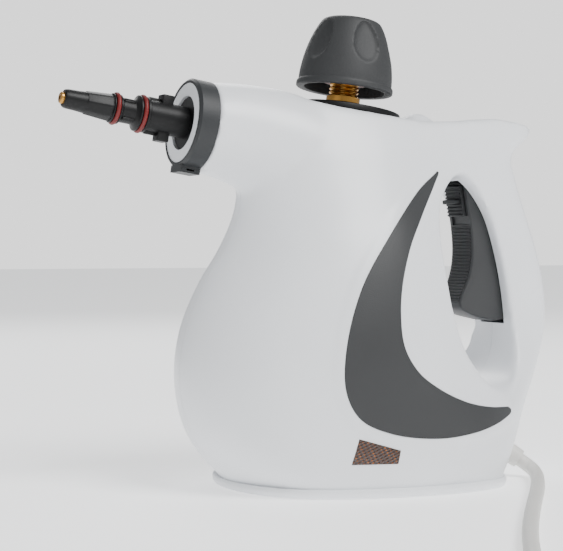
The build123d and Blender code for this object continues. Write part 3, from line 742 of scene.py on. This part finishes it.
def turned(name, place, profile, steps=96, closed=True):
    """Spin a profile of (radius, height) about the frame's own axis."""
    data = bpy.data.meshes.new(name)
    loop = list(range(len(profile)))
    edges = list(zip(loop, loop[1:])) + ([(loop[-1], 0)] if closed else [])
    data.from_pydata([(r, 0, h) for r, h in profile], edges, [])
    piece = linked(name, data)
    only(piece)
    bpy.ops.object.mode_set(mode=EDIT)
    bpy.ops.mesh.select_all(action="SELECT")
    bpy.ops.mesh.spin(steps=steps, angle=math.tau, center=(0, 0, 0), axis=(0, 0, 1))
    bpy.ops.mesh.select_all(action="SELECT")
    bpy.ops.mesh.remove_doubles(threshold=0.002)
    bpy.ops.mesh.normals_make_consistent(inside=False)
    bpy.ops.object.mode_set(mode=OBJECT)
    data.transform(place)
    return piece


FORM = body_form()
CRESCENT = crescent_outline()
raised_border(FORM, nearness(CRESCENT))
UNDER_INLAY = displaced(FORM, "under_inlay", -INLAY_DEPTH)


def shell():
    """The hollow shell, not yet split, with everything that is cut through it."""
    skin = duplicate(FORM, "shell")
    modify(skin, "SOLIDIFY", thickness=WALL * MM, offset=-1, use_even_offset=False)
    cutter = prism("recess", grown(CRESCENT, 0.1 * MM))
    boolean(cutter, UNDER_INLAY, keep=True)
    boolean(skin, cutter)
    boolean(skin, bar("below", (-200, -200, -50), (200, 200, BODY_FOOT)))
    boolean(skin, turned("nose_bore", NOSE_FRAME, [(0, -11), (20.2, -11), (20.2, 40), (0, 40)]))
    boolean(skin, turned("nose_face", NOSE_FRAME, [(0, -10.5), (60, -10.5), (60, 60), (0, 60)]))
    boolean(skin, turned("filler_hole", CAP_FRAME, [(0, -60), (12, -60), (12, 20), (0, 20)]))
    boolean(skin, bar("trigger_slot", (60, -11.5, 81), (95, 11.5, 165)))
    return skin


SKIN = shell()
LENS_OUTLINE = side_points(LENS)
# Where each far-side screw is, as (x, z), and how far out its head sits.
SCREW_SEAT = {(-72, 45): 38, (62, 24): 40, (100.5, 62): 12, (-52, 158): 16, (94.5, 180.5): 8}
SCREW_WELL_R, SCREW_BOSS_R = 3.9, 5.6
SPLIT_GAP, REACH = 0.12, 300


def across(name, x, z, radius, near, far):
    """A round bar along Y, for screw wells and pins."""
    return turned(name, frame_of((x, 0, z), (1, 0, 0), (0, 1, 0)),
                  [(0, near), (radius, near), (radius, far), (0, far)], steps=40)


def screw_wells(half):
    """Bosses inside the far half, each with a well bored in from outside."""
    under = displaced(FORM, "under", -0.4)
    for (x, z), seat in SCREW_SEAT.items():
        boss = across("boss", x, z, SCREW_BOSS_R, seat - 3, 90)
        boolean(boss, under, "INTERSECT", keep=True)
        boolean(half, boss, "UNION")
        boolean(half, across("well", x, z, SCREW_WELL_R, seat, 90))
    bpy.data.objects.remove(under)


def window():
    """Amber window, flush with the shell, in its own opening in the near half."""
    pane = displaced(FORM, "amber_pane", PANE_PROUD)
    boolean(pane, prism("pane", grown(LENS_OUTLINE, -0.15 * MM), -BEYOND, -0.02), "INTERSECT")
    boolean(pane, displaced(FORM, "pane_back", -PANE_DEPTH))
    return finish(pane, "body", "amber_window", "indicator_window", smooth=30)


for side, name in ((-1, "left_body_half"), (1, "right_body_half")):
    half = duplicate(SKIN, "shell_" + name.split("_")[0])
    low_y, high_y = (-SPLIT_GAP, REACH) if side < 0 else (-REACH, SPLIT_GAP)
    boolean(half, bar("other_side", (-REACH, low_y, -100), (REACH, high_y, 400)))
    if side < 0:
        boolean(half, prism("window", LENS_OUTLINE, -BEYOND, -0.02))
    else:
        screw_wells(half)
    finish(half, "body", "white_shell", name, smooth=40)
bpy.data.objects.remove(SKIN)
window()

for side, name in ((-1, "left"), (1, "right")):
    inlay = displaced(FORM, name + "_crescent", INLAY_PROUD)
    near, far = (-BEYOND, -0.004) if side < 0 else (0.004, BEYOND)
    boolean(inlay, prism("crescent", CRESCENT, near, far), "INTERSECT")
    boolean(inlay, UNDER_INLAY, keep=True)
    finish(inlay, "body", "dark_trim", name + "_crescent_inlay", smooth=40)

for piece in (FORM, UNDER_INLAY):
    bpy.data.objects.remove(piece)

# ---- filler cap, plug and plate ----

# Profiles from here on are (radius, height) on the piece's own axis.
CAP_CROWN = [(24.6, 3.6), (24.4, 8), (23.4, 15), (21.7, 22), (19.2, 29), (16.3, 34.7), (15.1, 36.2),
             (13.4, 37.1), (8, 38.1)]
HOLLOW_TURN, HOLLOWS, HOLLOW_HEIGHT, HOLLOW_DEPTH = 105.5, 5, 24, 2.9
HOLLOW_HALF_WIDE, HOLLOW_HALF_HIGH = 7.2, 11


def safety_cap():
    """Domed cap with finger hollows pressed into its side."""
    crown = curve_through([Vector((r, 0, h)) for r, h in CAP_CROWN], 8)
    rim = [(21.2, 0.3), (21.9, 0), (24.9, 0), (25.4, 0.4), (25.5, 1.4), (25.4, 2.6), (25, 3.2)]
    inner = [(10, 14), (19.4, 13.8), (20.6, 12.6)]
    profile = rim + [(point.x, point.z) for point in crown] + [(0, 38.5), (0, 14)] + inner
    cap = turned("safety_cap", Matrix.Identity(4), profile, steps=180)
    for vertex in cap.data.vertices:
        x, y, h = vertex.co
        radius = math.hypot(x, y)
        if radius < 8 or h < 4 or (h < 14.5 and radius < 21.3):
            continue
        turn = math.degrees(math.atan2(y, x)) - HOLLOW_TURN
        off = (turn + 180 / HOLLOWS) % (360 / HOLLOWS) - 180 / HOLLOWS
        aside, above = math.radians(off) * 21 / HOLLOW_HALF_WIDE, (h - HOLLOW_HEIGHT) / HOLLOW_HALF_HIGH
        depth = HOLLOW_DEPTH * math.sqrt(max(0, 1 - aside**2 - above**2)) * smooth_step((radius - 9) / 5)
        vertex.co.x *= (radius - depth) / radius
        vertex.co.y *= (radius - depth) / radius
    cap.data.transform(CAP_FRAME)
    return finish(cap, "cap", "cap_plastic", "safety_cap", smooth=40)


def threaded(name, place, low, high, radius, pitch, depth, start=0.0):
    """A screw: its crest runs round in one helix, with a plain lead-in at each end."""
    rings = []
    steps, fine = 64, pitch / 8
    count = round((high - low) / fine)
    for row in range(count + 1):
        h = low + (high - low) * row / count
        ring = []
        for step in range(steps):
            phase = ((h - start) / pitch - step / steps) % 1
            groove = depth * (1 - abs(2 * phase - 1)) * min(1, (h - low) / pitch, (high - h) / pitch)
            angle = math.tau * step / steps
            crest = radius - groove
            ring.append(place @ Vector((crest * math.cos(angle), crest * math.sin(angle), h)))
        rings.append(ring)
    return tube_mesh(name, rings)


def filler_plate():
    """Oval black plate with a stepped boss round the neck."""
    place = CAP_FRAME @ Matrix.Translation((0, -5, -11.3)) @ Matrix.Diagonal((20 / 28, 1, 1, 1))
    profile = [(0, 0), (28, 0), (28, 2), (27.6, 2.7), (26.8, 3), (0, 3)]
    plate = turned("filler_plate", place, profile, steps=128)
    lip = turned("plate_lip", CAP_FRAME, [(10.6, -9.9), (13.6, -9.9), (13.4, -9), (12.6, -8.6), (12, -7.4),
                                          (11.4, -7), (10.6, -7)], steps=96)
    boolean(plate, turned("bore", CAP_FRAME, [(0, -20), (10.6, -20), (10.6, 5), (0, 5)]))
    boolean(plate, lip, "UNION")
    return finish(plate, "body", "black_plastic", "filler_plate", smooth=30)


safety_cap()
finish(threaded("cap_plug", CAP_FRAME, -24, 13.9, 7.8, 2.0, 0.85), "cap", "brass", "cap_plug", smooth=50)
filler_plate()


# ---- nozzle ----

FROM_METRES = Matrix.Scale(1000, 4)

def joined(name, *pieces):
    only(*pieces[1:], pieces[0])
    bpy.ops.object.join()
    pieces[0].name = pieces[0].data.name = name
    return pieces[0]


def nozzle():
    """Spout with seal grooves, eight-sided tip, round snout, two bayonet lugs and four ridges."""
    spout = [(0, -12), (8, -12), (8, 19.6), (8.6, 19.7), (8.9, 20), (8.9, 21.2), (8.6, 21.4), (7.5, 21.5),
             (7.5, 23.9), (8.6, 24), (8.9, 24.3), (8.9, 25), (8.5, 25.2), (6.6, 26.4), (6.2, 27), (6.2, 33.4),
             (6.9, 33.9), (7.3, 34.2), (7.3, 34.9), (6, 35.1), (6, 37.5), (7, 37.6), (7.3, 37.9), (7.3, 38.3),
             (6.8, 38.6), (0, 38.6)]
    body = turned("spout", NOSE_FRAME, spout, steps=96)
    tip = turned("tip", NOSE_FRAME, [(0, 38), (6.9, 38), (6.9, 39.6), (5.9, 52), (0, 52)], steps=8)
    modify(tip, "BEVEL", width=0.7 * MM, segments=3, limit_method="ANGLE", angle_limit=math.radians(25))
    snout = turned("snout", NOSE_FRAME, [(0, 48), (5.6, 48), (5.5, 50), (5.0, 56), (4.8, 61), (4.5, 62.2),
                                         (4, 62.7), (2.9, 62.7), (2.9, 60), (0, 60)], steps=48)
    pieces = [body, tip, snout]
    for side in (-1, 1):
        lug = bar("lug", (-3.75, 0, 7.2), (3.75, 11.7, 13.2))
        rib = bar("rib", (-1.1, 0, 13), (1.1, 9.3, 19.8))
        half_turn = Matrix.Rotation(math.pi if side < 0 else 0, 4, "Z")
        for item in (lug, rib):
            item.data.transform(NOSE_FRAME @ half_turn @ FROM_METRES)
            modify(item, "BEVEL", width=0.5 * MM, segments=2, limit_method="ANGLE")
            pieces.append(item)
    for step in range(4):
        ridge = bar("ridge", (5.2, -1, 27.4), (7.0, 1, 33.2))
        turn = Matrix.Rotation(math.tau * (step + 0.5) / 4, 4, "Z")
        ridge.data.transform(NOSE_FRAME @ turn @ FROM_METRES)
        modify(ridge, "BEVEL", width=0.35 * MM, segments=2, limit_method="ANGLE")
        pieces.append(ridge)
    return finish(joined("steam_nozzle", *pieces), "body", "black_plastic", "steam_nozzle", smooth=28)


nozzle()


# ---- trigger and its lock ----

TRIGGER_FRONT = [(65.6, 157), (67, 146), (69.2, 134), (70.2, 122), (69.6, 113), (67.4, 104.5), (64, 97.5),
                 (62.2, 92.5)]
TRIGGER_TOE = [(62.2, 92.5), (63.2, 89.4), (71, 85.6), (84, 82.4)]
TRIGGER_BACK = [(99, 84), (98.5, 97), (95.5, 110), (91.5, 124), (87, 137), (82.5, 149)]
TRIGGER_HOLLOW = [
    (76, 90), (72.5, 98), (75, 106), (76.5, 122), (75, 136), (73.5, 150),
    (110, 150), (110, 90),
]
LEVER_HALF, HOLLOW_HALF, GRIP_HALF = 0.0109, 0.0088, 0.0092  # half widths in metres
GRIP_STEPS, RIB_CREST, RIB_ROOT = 96, 0.55, 0.1
LOCK_FRAME = frame_of((66.3, 0, 147.6), (0, 1, 0), (-0.989, 0, -0.148))


def trigger():
    """Hollow lever with its ribbed grip, and the arm that carries it."""
    front = curve_through(side_points(TRIGGER_FRONT), 8)
    toe = curve_through(side_points(TRIGGER_TOE), 8)[1:]
    back = curve_through(side_points(TRIGGER_BACK), 6)
    head = side_points([(80, 158), (72, 160)])
    lever = prism("lever", front + toe + back + head, -LEVER_HALF, LEVER_HALF)
    modify(lever, "BEVEL", width=1.3 * MM, segments=4, limit_method="ANGLE", angle_limit=math.radians(50))
    boolean(lever, prism("hollow", side_points(TRIGGER_HOLLOW), -HOLLOW_HALF, HOLLOW_HALF))
    seat = bar("seat", (-7.9, -8.9, -2), (7.9, 13.4, 6))
    seat.data.transform(LOCK_FRAME @ FROM_METRES)
    boolean(lever, seat)
    finish(lever, "trigger", "dark_trim", smooth=35)
    carrier = duplicate(frame["nodes"]["trigger"], "trigger_arm")
    outward(carrier)
    boolean(carrier, bar("low", (40, -40, 60), (140, 40, 156)))
    finish(carrier, "trigger", "dark_trim", "trigger", smooth=35)
    ribs = []
    face = resampled(curve_through(side_points(TRIGGER_FRONT[2:]), 8), GRIP_STEPS)
    for index, point in enumerate(face[1:-1], 1):
        across_line = (face[index + 1] - face[index - 1]).normalized()
        out = Vector((across_line.z, 0, -across_line.x))
        if out.x > 0:
            out = -out
        ribs.append(point + out * (RIB_CREST if index % 4 < 2 else RIB_ROOT) * MM)
    inner = [point + Vector((0.9 * MM, 0, 0)) for point in reversed(face[1:-1])]
    grip = prism("trigger_grip", ribs + inner, -GRIP_HALF, GRIP_HALF)
    finish(grip, "trigger", "dark_trim", material=EXTRA["grip_face"], smooth=0)


def trigger_lock():
    """Ribbed slide with a fin across its middle."""
    pieces = [bar("slide", (-7.5, -8.5, -1.7), (7.5, 8.5, 1.4))]
    for row in range(9):
        if row != 4:
            pieces.append(bar("rib", (-7.3, -8.1 + 1.9 * row, 1), (7.3, -7.1 + 1.9 * row, 2.2)))
    pieces.append(bar("fin", (-6.5, -1.2, 1), (6.5, 1.2, 5.0)))
    for item in pieces:
        item.data.transform(LOCK_FRAME @ FROM_METRES)
        modify(item, "BEVEL", width=(0.7 if item.name.startswith("fin") else 0.35) * MM, segments=3)
    finish(joined("slide_lock", *pieces), "lock_slide", "dark_trim", "trigger_lock",
           material=EXTRA["grip_face"], smooth=35)


trigger()
trigger_lock()


# ---- strain relief ----

def strain_relief():
    """Tapered sleeve with three rings, from the shell's hole along the lead."""
    start, end = Vector((69, -15.3, 24.4)), Vector((88.4, -28.4, 9))
    length = (end - start).length
    along = (end - start).normalized()
    place = frame_of(start, along.cross(Vector((0, 0, 1))), along)
    profile = [(3.72, 0), (6.6, 0), (6.2, 8), (6.4, 9), (6.3, 11)]
    for row in range(3):
        height, outside = 11.4 + 3.6 * row, 5.7 - 0.22 * row
        profile += [(outside - 0.9, height), (outside - 1, height + 1.2),
                    (outside, height + 1.6), (outside, height + 3.1)]
    profile += [(5.1, length - 1), (4.9, length), (3.72, length)]
    sleeve = turned("strain_relief", place, profile, steps=64)
    return finish(sleeve, "body", "cord_jacket", "strain_relief", smooth=30)


strain_relief()
